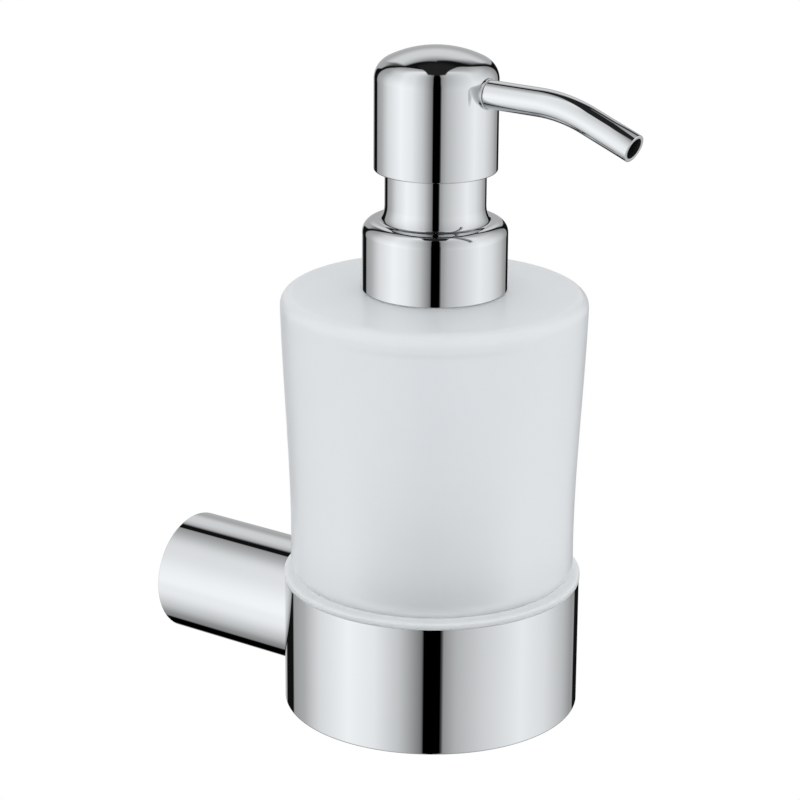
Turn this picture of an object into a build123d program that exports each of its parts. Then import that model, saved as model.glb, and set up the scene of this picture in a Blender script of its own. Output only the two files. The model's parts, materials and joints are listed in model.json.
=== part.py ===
from build123d import *
import math
import os

# Wall mounted soap dispenser, in millimetres.
# Origin: centre of the arm's wall end. +Y goes into the wall, so the dispenser reaches out along -Y. +Z is up.
# Pieces that stand on the bottle's axis are drawn about Z, with z = 0 at the ring's bottom edge, and then moved.

# Driving dimensions
arm_reach = 73.3  # wall to bottle axis
arm_height = 14.95  # ring's bottom edge to arm axis
arm_radius = 14.65
arm_wall = 2.0
ring_radius = 35.0
ring_wall = 2.2
ring_height = 31.1
ring_ledge = 2.0  # thickness of the inward ledge at the ring's bottom
ledge_opening = 28.0  # radius of the drain opening in the ledge
same_body_gap = 0.05  # radial gap between pieces that are pressed or screwed together

# Bracket and fasteners of the arm
bracket_radius = 12.5
bracket_depth = 10.0
wall_hole_spacing = 13.0
wall_hole_radius = 2.25
countersink_radius = 4.2
countersink_station = 4.0  # distance from the wall to where the countersink's cone starts
countersink_cone = 2.0
grub_station = 6.0  # distance from the wall to the grub screw
groove_depth = 1.3
grub_gap = 0.45  # cone's tip to the groove's bottom
grub_recess = 0.1  # grub screw's socket end below the arm's surface
screw_radius = 2.0  # M4
screw_head_radius = 3.9
screw_head_cone = 1.8
screw_head_rim = 0.1
screw_length = 12.0
screw_recess = 0.05  # screw head below the ring's inside
plug_depth = 8.0

# Liner of the ring
liner_wall = 1.1
liner_lip = 1.55
liner_lip_radius = 35.15
liner_foot = 1.5

# Bottle
bottle_wall = 3.0
bottle_foot_radius = 31.2  # the part that stands in the liner
bottle_foot_bottom = 3.6
bottle_step = 32.75  # height of the step that rests on the liner's lip
bottle_side = [(33.45, 36.5), (33.9, 60.0), (35.4, 89.5), (35.76, 101.0)]  # radius, height
bottle_top = 101.7
bottle_shoulder_fillet = 3.0
neck_root = 12.7
neck_bore = 10.9
neck_top = 113.7
thread_crest = 13.6
thread_pitch = 3.2
thread_turns = 3
thread_start = 2.6  # shoulder to the first rib
thread_flank = 0.5
thread_land = 0.6

# Collar
collar_radius = 16.79
collar_bottom = 101.85
collar_top = 118.3
collar_wall = 1.05
sleeve_radius = 11.68
sleeve_wall = 1.0
sleeve_top = 133.5
cap_bore = 13.95
cap_hole = 10.2

# Pump
flange_radius = 12.9
flange_top = 115.95
flange_thickness = 1.15
gasket_height = 1.0
barrel_radius = 7.0
barrel_bore = 5.6
barrel_floor = 62.5
ball_radius = 2.6
ball_height = 59.3
seat_bore = 1.8
tube_radius = 2.95
tube_bore = 2.1
tube_bottom = 9.5
socket_radius = 3.0
socket_top = 56.3
socket_bottom = 49.5
throat = 1.0  # length of the ball seat's bore
shoulder_bottom = 104.0  # where the housing widens towards the flange
shoulder_top = 108.0
mouth_radius = 8.0
mouth_floor = 109.0
vent_height = 104.8
vent_radius = 0.6
guide_top = 119.0
stem_radius = 3.0
stem_bore = 1.7
stem_bottom = 104.0
stem_top = 147.0
piston_bottom = 96.9
piston_top = 102.8
rod_foot = 95.5
spring_floor = 65.5
spring_wire = 0.9
spring_radius = 3.75  # to the middle of the wire
spring_coils = 7

# Head and spout
head_radius = 14.23
head_wall = 1.1
head_bottom = 129.96
head_top = 158.3
dome_radius = 25.4
dome_corner = 5.2
hub_bottom = 131.0
core_bottom = 144.8
core_top = 153.8
spout_height = 149.3
spout_radius = 3.27
spout_bore = 2.42
spout_inner_end = 4.5  # distance from the head's axis to the tube's inner end
spout_straight = 27.7
spout_bend_radius = 36.25
spout_bend = 21.0
spout_tip = 12.7
spout_ring_radius = 3.58
spout_ring_length = 0.4  # how far it stands proud of the head

on_bottle_axis = Pos(0, -arm_reach, -arm_height)
ring_screw_top = arm_reach - ring_radius + ring_wall - screw_recess  # distance from the wall to the head's top


def turned(outline, radii=0):
    """A solid of revolution about Z, from an outline of (radius, height) corners with a fillet radius for each."""
    if radii == 0:
        radii = [0] * len(outline)
    edges = FilletPolyline(*[(r, 0, z) for r, z in outline], radius=radii, close=True)
    return revolve(make_face(edges.edges()), Axis.Z)


def rod(radius, bottom, top):
    """A plain cylinder about Z between two heights."""
    return Pos(0, 0, bottom) * Cylinder(radius, top - bottom, align=(Align.CENTER, Align.CENTER, Align.MIN))


def tube(radius, bore, bottom, top):
    return rod(radius, bottom, top) - rod(bore, bottom - 1, top + 1)


def from_wall(shape):
    """Moves a shape drawn about Z, with z = distance out of the wall, on to the arm's axis."""
    return Rot(90, 0, 0) * shape


def ring_outside():
    """The space that the ring's outer wall takes up, used to fit the arm to it."""
    return on_bottle_axis * rod(ring_radius, -20, ring_height + 20)


# Holder


def wall_bracket():
    groove_low, groove_high = grub_station - groove_depth, grub_station + groove_depth
    outline = [
        (0, 0),
        (bracket_radius, 0),
        (bracket_radius, groove_low),
        (bracket_radius - groove_depth, grub_station),
        (bracket_radius, groove_high),
        (bracket_radius, bracket_depth),
        (0, bracket_depth),
    ]
    body = turned(outline, [0, 0, 0, 0, 0, 0.6, 0])
    wide, cone = countersink_radius, countersink_cone
    countersink = turned([(0, 0), (wall_hole_radius, 0), (wide, cone), (wide, bracket_depth), (0, bracket_depth)])
    for side in (-1, 1):
        place = Pos(side * wall_hole_spacing / 2, 0, 0)
        body -= place * rod(wall_hole_radius, -1, bracket_depth + 1)
        body -= place * Pos(0, 0, countersink_station) * countersink
    return from_wall(body)


def hex_socket(across_flats, depth):
    """The tool for a hexagon socket, from z = 0 upwards."""
    return extrude(RegularPolygon(across_flats / 2, 6, major_radius=False), depth)


def grub_screw():
    """Stands upright under the arm, with its cone in the bracket's groove."""
    tip = bracket_radius - groove_depth + grub_gap
    bottom = -arm_radius + grub_recess
    flat = 0.4  # radius of the blunt tip; the cone is 45 degrees
    cone_foot = -tip - (screw_radius - flat)
    outline = [(0, bottom), (screw_radius, bottom), (screw_radius, cone_foot), (flat, -tip), (0, -tip)]
    screw = turned(outline, [0, 0.2, 0, 0, 0])
    screw -= Pos(0, 0, bottom) * hex_socket(2.0, 1.5)
    return Pos(0, -grub_station, 0) * screw


def arm_tube():
    body = from_wall(tube(arm_radius, arm_radius - arm_wall, 0, arm_reach))
    body -= Pos(0, -grub_station, 0) * rod(screw_radius + same_body_gap, -arm_radius - 1, 0)
    return body - ring_outside()


def arm_end_plug():
    ring_side = arm_reach - ring_radius
    far_side = arm_reach - math.sqrt(ring_radius**2 - arm_radius**2)
    body = rod(arm_radius - arm_wall - same_body_gap, ring_side - plug_depth, far_side + 3)
    body = from_wall(body - rod(screw_radius + same_body_gap, 0, arm_reach))
    return body - ring_outside()


def ring_screw_shape(gap):
    """Countersunk screw about Z, head at the top. The gap makes it the tool for its own hole."""
    top = ring_screw_top
    rim = top - screw_head_rim
    outline = [
        (0, top - screw_length),
        (screw_radius + gap, top - screw_length),
        (screw_radius + gap, rim - screw_head_cone),
        (screw_head_radius + gap, rim),
        (screw_head_radius + gap, top + gap * 20),
        (0, top + gap * 20),
    ]
    return turned(outline)


def ring_screw():
    socket = Pos(0, 0, ring_screw_top - 1.3) * hex_socket(2.5, 3)
    return from_wall(ring_screw_shape(0) - socket)


def holder_ring():
    outline = [
        (ledge_opening, 0),
        (ring_radius, 0),
        (ring_radius, ring_height),
        (ring_radius - ring_wall, ring_height),
        (ring_radius - ring_wall, ring_ledge),
        (ledge_opening, ring_ledge),
    ]
    body = on_bottle_axis * turned(outline, [0.3, 0.5, 0.2, 0.2, 0.5, 0.3])
    return body - from_wall(ring_screw_shape(same_body_gap))


def ring_liner():
    outer = ring_radius - ring_wall - same_body_gap
    inner = outer - liner_wall
    lip_top = ring_height + liner_lip
    outline = [
        (ledge_opening - 1, ring_ledge),
        (outer, ring_ledge),
        (outer, ring_height),
        (liner_lip_radius, ring_height),
        (liner_lip_radius, lip_top),
        (inner, lip_top),
        (inner, ring_ledge + liner_foot),
        (ledge_opening - 1, ring_ledge + liner_foot),
    ]
    return on_bottle_axis * turned(outline, [0.3, 0.7, 0, 0.3, 0.75, 0.3, 0.3, 0.3])


# Bottle


def glass_bottle():
    side = Spline(*[(r, 0, z) for r, z in bottle_side])
    edge_radius = bottle_side[-1][0]
    corners = [
        side @ 1,
        (17.2, 0, bottle_top),
        (neck_root, 0, bottle_top),
        (neck_root, 0, neck_top),
        (0, 0, neck_top),
        (0, 0, bottle_foot_bottom),
        (bottle_foot_radius, 0, bottle_foot_bottom),
        (bottle_foot_radius, 0, bottle_step),
        (bottle_side[0][0] - 1.6, 0, bottle_step),
    ]
    lower_corner = ThreePointArc(corners[-1], (bottle_side[0][0] - 0.45, 0, bottle_step + 1.2), side @ 0)
    outline = make_face([*Polyline(*corners).edges(), lower_corner.edge(), side.edge()])
    body = revolve(outline, Axis.Z)
    shoulder = body.edges().filter_by(GeomType.CIRCLE)
    shoulder = [e for e in shoulder if abs(e.radius - edge_radius) < 0.01 and e.center().Z > 90]
    body = fillet(shoulder, bottle_shoulder_fillet)
    floor = bottle_foot_bottom + bottle_wall
    cavity = [
        (0, floor),
        (bottle_foot_radius - bottle_wall, floor),
        (bottle_foot_radius - bottle_wall, 37),
        (30.6, 43),
        (edge_radius - bottle_wall, bottle_top - bottle_wall - 0.3),
        (neck_bore, bottle_top - bottle_wall),
        (neck_bore, neck_top + 1),
        (0, neck_top + 1),
    ]
    body -= turned(cavity, [0, 5, 4, 4, 4, 1.5, 0, 0])
    for turn in range(thread_turns):
        low = bottle_top + thread_start + turn * thread_pitch
        crest_low = low + thread_flank
        crest_high = crest_low + thread_land
        high = crest_high + thread_flank
        rib = [(neck_root - 0.5, low), (neck_root, low), (thread_crest, crest_low)]
        rib += [(thread_crest, crest_high), (neck_root, high), (neck_root - 0.5, high)]
        body += turned(rib)
    return on_bottle_axis * body


# Collar


def collar_shell():
    inner = collar_radius - collar_wall
    outline = [
        (inner, collar_bottom),
        (collar_radius, collar_bottom),
        (collar_radius, collar_top),
        (sleeve_radius, collar_top),
        (sleeve_radius, sleeve_top),
        (sleeve_radius - sleeve_wall, sleeve_top),
        (sleeve_radius - sleeve_wall, collar_top - collar_wall),
        (inner, collar_top - collar_wall),
    ]
    return on_bottle_axis * turned(outline, [0.2, 0.3, 2.97, 1.5, 0.3, 0.3, 0.3, 1.8])


def screw_cap():
    outer = collar_radius - collar_wall - same_body_gap
    top = collar_top - collar_wall - same_body_gap
    outline = [
        (cap_bore, collar_bottom + 0.4),
        (outer, collar_bottom + 0.4),
        (outer, top),
        (cap_hole, top),
        (cap_hole, flange_top + 0.1),
        (cap_bore, flange_top + 0.1),
    ]
    return on_bottle_axis * turned(outline, [0.3, 0.3, 1.9, 0.2, 0, 0.3])


# Pump


def neck_gasket():
    bottom = flange_top - flange_thickness - gasket_height
    return on_bottle_axis * tube(flange_radius, neck_bore + 0.1, bottom, bottom + gasket_height)


def pump_housing():
    flange_bottom = flange_top - flange_thickness
    cone = ball_radius - seat_bore + 0.7  # height of the 45 degree ball seat
    seat_bottom = socket_top + throat
    seat_top = seat_bottom + cone
    outline = [
        (socket_radius, socket_bottom),
        (4.4, socket_bottom),
        (4.4, socket_top),
        (barrel_radius, barrel_floor - 1.5),
        (barrel_radius, shoulder_bottom),
        (9.6, shoulder_top),
        (9.6, flange_bottom),
        (flange_radius, flange_bottom),
        (flange_radius, flange_top),
        (mouth_radius, flange_top),
        (mouth_radius, mouth_floor),
        (barrel_bore, mouth_floor),
        (barrel_bore, barrel_floor),
        (seat_bore + cone, barrel_floor),
        (seat_bore + cone, seat_top),
        (seat_bore, seat_bottom),
        (seat_bore, socket_top),
        (socket_radius, socket_top),
    ]
    body = turned(outline)
    body -= Pos(0, 0, vent_height) * Rot(0, 90, 0) * rod(vent_radius, 0, flange_radius)
    return on_bottle_axis * body


def housing_guide():
    """Snaps into the housing's mouth, guides the stem and stops the piston at the top."""
    bottom = piston_top + 0.2
    bore = 3.6  # loose around the stem; the guiding bore is above it
    guide_bore = stem_radius + 0.08
    in_barrel = barrel_bore - 0.15
    in_mouth = mouth_radius - 0.1
    rim_bottom = flange_top + 0.05
    rim_top = flange_top + 1.3
    outline = [
        (bore, bottom),
        (in_barrel, bottom),
        (in_barrel, mouth_floor + 0.1),
        (in_mouth, mouth_floor + 0.1),
        (in_mouth, rim_bottom),
        (9.4, rim_bottom),
        (9.4, rim_top),
        (5.2, rim_top),
        (5.2, guide_top),
        (guide_bore, guide_top),
        (guide_bore, 112),
        (bore, 112),
    ]
    return on_bottle_axis * turned(outline)


def spring_seat():
    """Holds the inlet ball in its chamber and carries the return spring."""
    body = rod(barrel_bore - 0.1, barrel_floor, spring_floor) - rod(3.1, barrel_floor - 1, barrel_floor + 1.1)
    for turn in range(3):
        body -= Rot(0, 0, 120 * turn) * Pos(2.0, 0, 0) * rod(0.8, barrel_floor, spring_floor + 1)
    return on_bottle_axis * body


def return_spring():
    height = rod_foot - spring_floor - spring_wire
    path = Helix(pitch=height / spring_coils, height=height, radius=spring_radius)
    section = Plane(origin=path @ 0, z_dir=path % 0) * Circle(spring_wire / 2)
    wire = sweep(section, path=path, is_frenet=True)
    return on_bottle_axis * Pos(0, 0, spring_floor + spring_wire / 2) * wire


def inlet_ball():
    return on_bottle_axis * Pos(0, 0, ball_height) * Sphere(ball_radius)


def dip_tube():
    body = tube(tube_radius, tube_bore, tube_bottom, socket_top - 0.1)
    slant = Pos(0, 0, tube_bottom) * Rot(0, 45, 0) * Box(20, 20, 6, align=(Align.CENTER, Align.CENTER, Align.MAX))
    return on_bottle_axis * (body - slant)


# Piston


def piston_seal():
    """Cup seal on the valve rod, with a lip at each end against the barrel."""
    waist = barrel_bore - 1.1
    outline = [
        (2.5, piston_bottom),
        (barrel_bore - 0.1, piston_bottom),
        (barrel_bore - 0.1, piston_bottom + 1.0),
        (waist, piston_bottom + 1.8),
        (waist, piston_top - 1.8),
        (barrel_bore - 0.1, piston_top - 1.0),
        (barrel_bore - 0.1, piston_top),
        (4.0, piston_top),
        (4.0, piston_top - 1.5),
        (2.5, piston_top - 1.5),
    ]
    return on_bottle_axis * turned(outline)


# Head


def valve_rod():
    """Hollow rod in the stem's lower end; its foot closes the piston seal from below and takes the spring."""
    outline = [
        (0, rod_foot),
        (4.5, rod_foot),
        (4.5, rod_foot + 1.2),
        (2.4, rod_foot + 1.2),
        (2.4, stem_bottom),
        (stem_bore - 0.05, stem_bottom),
        (stem_bore - 0.05, stem_bottom + 5.5),
        (0, stem_bottom + 5.5),
    ]
    body = turned(outline) - rod(0.9, rod_foot + 2.4, stem_bottom + 6)
    body -= Pos(0, 0, rod_foot + 3.4) * Rot(0, 90, 0) * rod(0.7, -5, 5)
    return on_bottle_axis * body


def pump_stem():
    return on_bottle_axis * tube(stem_radius, stem_bore, stem_bottom, stem_top)


def domed(radius, bottom, top, dome, corner):
    """An upright cylinder with a shallow dome and a rounded corner below it."""
    body = rod(radius, bottom, top) & (Pos(0, 0, top - dome) * Sphere(dome))
    rim = [e for e in body.edges().filter_by(GeomType.CIRCLE) if e.center().Z > bottom + 5]
    return fillet(rim, corner)


def towards_room(shape):
    """Turns a shape drawn about Z, with z = distance from the head's axis, to point out of the wall."""
    return Pos(0, 0, spout_height) * Rot(90, 0, 0) * shape


def head_shell():
    body = domed(head_radius, head_bottom, head_top, dome_radius, dome_corner)
    lower_edge = [e for e in body.edges() if e.center().Z < head_bottom + 0.01]
    body = fillet(lower_edge, 0.45)
    body -= domed(
        head_radius - head_wall,
        head_bottom - 6,
        head_top - head_wall,
        dome_radius - head_wall,
        dome_corner - head_wall,
    )
    body -= towards_room(rod(spout_radius + same_body_gap, 5, head_radius + 2))
    return on_bottle_axis * body


def head_core():
    """Moulding pressed into the head; it joins the stem to the spout."""
    outer = head_radius - head_wall - same_body_gap
    outline = [
        (0, hub_bottom),
        (8.0, hub_bottom),
        (8.0, core_bottom),
        (outer, core_bottom),
        (outer, 150.2),
        (10.6, core_top),
        (0, core_top),
    ]
    body = turned(outline, [0, 0.8, 0.6, 0.3, 0, 0, 0])
    body -= rod(stem_radius + same_body_gap, hub_bottom - 1, stem_top + 0.1)
    body -= rod(stem_bore, stem_top - 1, spout_height)
    body -= towards_room(rod(stem_bore, 0, 20))
    body -= towards_room(rod(spout_radius + same_body_gap, spout_inner_end - 0.1, 20))
    return on_bottle_axis * body


def spout_path():
    """Straight out of the head, one bend downwards, and a straight tip."""

    def on_bend(angle):
        across = spout_bend_radius * math.sin(math.radians(angle))
        down = spout_bend_radius * (1 - math.cos(math.radians(angle)))
        return Vector(0, -spout_straight - across, spout_height - down)

    run = Line((0, -spout_inner_end, spout_height), on_bend(0))
    bend = ThreePointArc(on_bend(0), on_bend(spout_bend / 2), on_bend(spout_bend))
    tip = Line(bend @ 1, (bend @ 1) + (bend % 1) * spout_tip)
    return Wire([run.edge(), bend.edge(), tip.edge()])


def spout_tube():
    path = spout_path()
    across = Plane(origin=path @ 0, z_dir=(0, -1, 0))
    section = across * (Circle(spout_radius) - Circle(spout_bore))
    return on_bottle_axis * sweep(section, path=path)


def spout_ring():
    """Collar around the spout's root, fitted to the head's round side."""
    body = turned(
        [
            (spout_radius + same_body_gap, 10),
            (spout_ring_radius, 10),
            (spout_ring_radius, head_radius + spout_ring_length),
            (spout_radius + same_body_gap, head_radius + spout_ring_length),
        ],
        [0, 0, 0.15, 0.05],
    )
    return on_bottle_axis * (towards_room(body) - rod(head_radius + 0.02, head_bottom, head_top + 10))


pieces = [
    wall_bracket,
    grub_screw,
    arm_tube,
    arm_end_plug,
    ring_screw,
    holder_ring,
    ring_liner,
    glass_bottle,
    collar_shell,
    screw_cap,
    neck_gasket,
    pump_housing,
    housing_guide,
    spring_seat,
    return_spring,
    inlet_ball,
    dip_tube,
    piston_seal,
    valve_rod,
    pump_stem,
    head_shell,
    head_core,
    spout_tube,
    spout_ring,
]

os.makedirs("parts", exist_ok=True)
for piece in pieces:
    shape = piece()
    export_step(shape, f"parts/{piece.__name__}.step")
    print(piece.__name__, round(shape.volume, 1))
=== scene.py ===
import json
import math

import bmesh
import bpy
from mathutils import Matrix, Vector


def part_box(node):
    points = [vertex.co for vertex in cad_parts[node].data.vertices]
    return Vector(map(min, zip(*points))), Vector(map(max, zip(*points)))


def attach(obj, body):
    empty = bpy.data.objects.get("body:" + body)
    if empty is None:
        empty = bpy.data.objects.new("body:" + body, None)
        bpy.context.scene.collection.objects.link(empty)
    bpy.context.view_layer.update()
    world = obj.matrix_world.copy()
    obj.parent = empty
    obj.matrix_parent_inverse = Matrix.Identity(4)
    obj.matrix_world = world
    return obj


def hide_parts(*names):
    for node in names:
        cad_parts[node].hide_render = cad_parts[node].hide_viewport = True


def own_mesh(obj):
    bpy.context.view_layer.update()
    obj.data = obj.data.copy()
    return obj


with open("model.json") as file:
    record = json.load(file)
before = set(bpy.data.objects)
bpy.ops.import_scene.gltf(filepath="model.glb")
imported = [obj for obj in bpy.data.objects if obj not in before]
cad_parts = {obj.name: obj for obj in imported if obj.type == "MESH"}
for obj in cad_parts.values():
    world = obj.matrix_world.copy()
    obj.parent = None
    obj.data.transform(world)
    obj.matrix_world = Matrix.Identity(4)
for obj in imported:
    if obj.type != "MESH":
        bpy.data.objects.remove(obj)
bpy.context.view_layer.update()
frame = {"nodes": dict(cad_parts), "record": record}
print("frame loaded:", len(frame["nodes"]), "nodes")

mm = 0.001


def middle(node):
    low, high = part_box(node)
    return (Vector(low) + Vector(high)) / 2


def halfWidth(node):
    low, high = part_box(node)
    return (high[0] - low[0]) / 2 / mm


axisY = middle("holder_ring").y
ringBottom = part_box("holder_ring")[0][2]
bottleAxis = Vector((0.0, axisY, ringBottom))  # heights of turned pieces count from the ring's bottom edge
armAxis = Vector((0.0, 0.0, middle("arm_tube").z))
noShift = Vector((0.0, 0.0, 0.0))
towardsWall = Matrix.Rotation(-math.pi / 2, 4, "X")  # lays an upright piece down, its top to the wall
towardsRoom = Matrix.Rotation(math.pi / 2, 4, "X")


def above(node, end):
    # height of a node's lowest (0) or highest (1) point above the ring's bottom edge
    return (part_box(node)[end][2] - ringBottom) / mm


filletSizes = {"facetTurn": 6, "fewestFacets": 5, "support": 0.05, "supportShare": 0.4}


def roundedOutline(corners, closed=True):
    # corners are (radius, height, fillet) in mm; a straight run gets a point close to each fillet,
    # so that it shades flat
    s = filletSizes
    points = []
    count = len(corners)
    for i, (r, z, fillet) in enumerate(corners):
        here = Vector((r, z))
        ends = not closed and i in (0, count - 1)
        if ends or fillet <= 0:
            points.append(here)
            continue
        before = Vector(corners[i - 1][:2]) - here
        after = Vector(corners[(i + 1) % count][:2]) - here
        turn = before.angle(after)
        reach = fillet / math.tan(turn / 2)
        start, end = here + before.normalized() * reach, here + after.normalized() * reach
        inwards = (before.normalized() + after.normalized()).normalized()
        centre = here + inwards * (fillet / math.sin(turn / 2))
        a0 = math.atan2(start.y - centre.y, start.x - centre.x)
        sweep = (math.atan2(end.y - centre.y, end.x - centre.x) - a0 + math.pi) % (2 * math.pi) - math.pi
        support = min(s["support"], reach * s["supportShare"])
        steps = max(s["fewestFacets"], math.ceil(abs(math.degrees(sweep)) / s["facetTurn"]))
        if before.length > reach + support * 2:
            points.append(start + before.normalized() * support)
        for k in range(steps + 1):
            a = a0 + sweep * k / steps
            points.append(centre + Vector((math.cos(a), math.sin(a))) * fillet)
        if after.length > reach + support * 2:
            points.append(end + after.normalized() * support)
    if closed:
        points.append(points[0].copy())
    return [tuple(p) for p in points]


def arc(centreR, centreZ, radius, fromDeg, toDeg, steps):
    angles = [math.radians(fromDeg + (toDeg - fromDeg) * k / steps) for k in range(steps + 1)]
    return [(centreR + radius * math.cos(a), centreZ + radius * math.sin(a)) for a in angles]


def newTree(name, sockets):
    tree = bpy.data.node_groups.new(name, "GeometryNodeTree")
    face = tree.interface
    face.new_socket("Geometry", in_out="INPUT", socket_type="NodeSocketGeometry")
    for socketName, kind in sockets:
        face.new_socket(socketName, in_out="INPUT", socket_type=kind)
    face.new_socket("Geometry", in_out="OUTPUT", socket_type="NodeSocketGeometry")
    return tree


def nodeMaker(tree):
    def make(kind, inputs=None, **settings):
        node = tree.nodes.new(kind)
        for key, value in settings.items():
            setattr(node, key, value)
        for key, value in (inputs or {}).items():
            if isinstance(value, bpy.types.NodeSocket):
                tree.links.new(value, node.inputs[key])
            else:
                node.inputs[key].default_value = value
        return node

    return make


treeSizes = {
    "poleWeld": 2e-6,  # metres; closes the seam and the poles of a turned shell
    "stepsPerTurn": 72,  # along a helix
    "beadFacets": 20,
    "thinEnd": 0.02,  # share of its thickness that a bead's end keeps
}


def buildTurningTree():
    # turns a chain of points, given as a mesh in the XZ plane, about a vertical line through Centre
    tree = newTree(
        "turnedShell",
        [("Segments", "NodeSocketInt"), ("Centre", "NodeSocketVector"), ("Finish", "NodeSocketMaterial")],
    )
    make = nodeMaker(tree)
    given = make("NodeGroupInput").outputs
    count = make("GeometryNodeAttributeDomainSize", {"Geometry": given["Geometry"]}).outputs["Point Count"]
    columns = make("ShaderNodeMath", {0: given["Segments"], 1: 1.0}, operation="ADD").outputs[0]
    grid = make(
        "GeometryNodeMeshGrid", {"Size X": 1.0, "Size Y": 1.0, "Vertices X": count, "Vertices Y": columns}
    ).outputs["Mesh"]
    index = make("GeometryNodeInputIndex").outputs[0]
    share = make("ShaderNodeMath", {0: index, 1: columns}, operation="DIVIDE").outputs[0]
    row = make("ShaderNodeMath", {0: share}, operation="FLOOR").outputs[0]
    column = make("ShaderNodeMath", {0: index, 1: columns}, operation="MODULO").outputs[0]
    place = make("GeometryNodeInputPosition").outputs[0]
    profile = make(
        "GeometryNodeSampleIndex",
        {"Geometry": given["Geometry"], "Value": place, "Index": row},
        data_type="FLOAT_VECTOR",
    ).outputs["Value"]
    turn = make("ShaderNodeMath", {0: column, 1: 2 * math.pi}, operation="MULTIPLY").outputs[0]
    angle = make("ShaderNodeMath", {0: turn, 1: given["Segments"]}, operation="DIVIDE").outputs[0]
    turned = make(
        "ShaderNodeVectorRotate", {"Vector": profile, "Angle": angle}, rotation_type="Z_AXIS"
    ).outputs[0]
    placed = make("ShaderNodeVectorMath", {0: turned, 1: given["Centre"]}, operation="ADD").outputs[0]
    shell = make("GeometryNodeSetPosition", {"Geometry": grid, "Position": placed}).outputs[0]
    closed = make("GeometryNodeMergeByDistance", {"Geometry": shell, "Distance": treeSizes["poleWeld"]})
    smooth = make("GeometryNodeSetShadeSmooth", {"Geometry": closed.outputs[0]}).outputs[0]
    real = make("GeometryNodeRealizeInstances", {"Geometry": smooth}).outputs[0]
    finished = make("GeometryNodeSetMaterial", {"Geometry": real, "Material": given["Finish"]}).outputs[0]
    make("NodeGroupOutput", {"Geometry": finished})
    return tree


def buildHelixTree():
    # a round bead along a helix, which may thin out at both ends: threads and springs
    tree = newTree(
        "helicalBead",
        [
            ("Radius", "NodeSocketFloat"),
            ("Rise", "NodeSocketFloat"),
            ("Turns", "NodeSocketFloat"),
            ("Bead", "NodeSocketFloat"),
            ("Fade", "NodeSocketFloat"),
            ("Base", "NodeSocketVector"),
            ("Finish", "NodeSocketMaterial"),
        ],
    )
    make = nodeMaker(tree)
    given = make("NodeGroupInput").outputs
    spiral = make(
        "GeometryNodeCurveSpiral",
        {
            "Resolution": treeSizes["stepsPerTurn"],
            "Rotations": given["Turns"],
            "Start Radius": given["Radius"],
            "End Radius": given["Radius"],
            "Height": given["Rise"],
        },
    ).outputs[0]
    along = make("GeometryNodeSplineParameter").outputs["Factor"]
    back = make("ShaderNodeMath", {0: 1.0, 1: along}, operation="SUBTRACT").outputs[0]
    nearEnd = make("ShaderNodeMath", {0: along, 1: back}, operation="MINIMUM").outputs[0]
    fade = make(
        "ShaderNodeMapRange",
        {"Value": nearEnd, "From Max": given["Fade"], "To Min": treeSizes["thinEnd"], "To Max": 1.0},
        interpolation_type="SMOOTHSTEP",
    ).outputs[0]
    section = make(
        "GeometryNodeCurvePrimitiveCircle", {"Resolution": treeSizes["beadFacets"], "Radius": given["Bead"]}
    ).outputs[0]
    bead = make(
        "GeometryNodeCurveToMesh",
        {"Curve": spiral, "Profile Curve": section, "Scale": fade, "Fill Caps": True},
    ).outputs[0]
    placed = make("GeometryNodeTransform", {"Geometry": bead, "Translation": given["Base"]}).outputs[0]
    smooth = make("GeometryNodeSetShadeSmooth", {"Geometry": placed}).outputs[0]
    real = make("GeometryNodeRealizeInstances", {"Geometry": smooth}).outputs[0]
    finished = make("GeometryNodeSetMaterial", {"Geometry": real, "Material": given["Finish"]}).outputs[0]
    make("NodeGroupOutput", {"Geometry": finished})
    return tree


def buildPipeTree():
    # a round pipe skin along the chain of points that the object holds
    tree = newTree(
        "pipeOnPath",
        [("Radius", "NodeSocketFloat"), ("Facets", "NodeSocketInt"), ("Finish", "NodeSocketMaterial")],
    )
    make = nodeMaker(tree)
    given = make("NodeGroupInput").outputs
    path = make("GeometryNodeMeshToCurve", {"Mesh": given["Geometry"]}).outputs[0]
    section = make(
        "GeometryNodeCurvePrimitiveCircle", {"Resolution": given["Facets"], "Radius": given["Radius"]}
    ).outputs[0]
    skin = make("GeometryNodeCurveToMesh", {"Curve": path, "Profile Curve": section}).outputs[0]
    smooth = make("GeometryNodeSetShadeSmooth", {"Geometry": skin}).outputs[0]
    real = make("GeometryNodeRealizeInstances", {"Geometry": smooth}).outputs[0]
    finished = make("GeometryNodeSetMaterial", {"Geometry": real, "Material": given["Finish"]}).outputs[0]
    make("NodeGroupOutput", {"Geometry": finished})
    return tree


turningTree = buildTurningTree()
helixTree = buildHelixTree()
pipeTree = buildPipeTree()


def addNodes(obj, tree, values):
    modifier = obj.modifiers.new(tree.name, "NODES")
    modifier.node_group = tree
    for item in tree.interface.items_tree:
        if item.in_out == "INPUT" and item.name in values:
            modifier[item.identifier] = values[item.name]
    return modifier


def meshObject(name, points, edges=(), faces=()):
    mesh = bpy.data.meshes.new(name)
    mesh.from_pydata([tuple(p) for p in points], list(edges), list(faces))
    obj = bpy.data.objects.new(name, mesh)
    bpy.context.scene.collection.objects.link(obj)
    return obj


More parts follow.
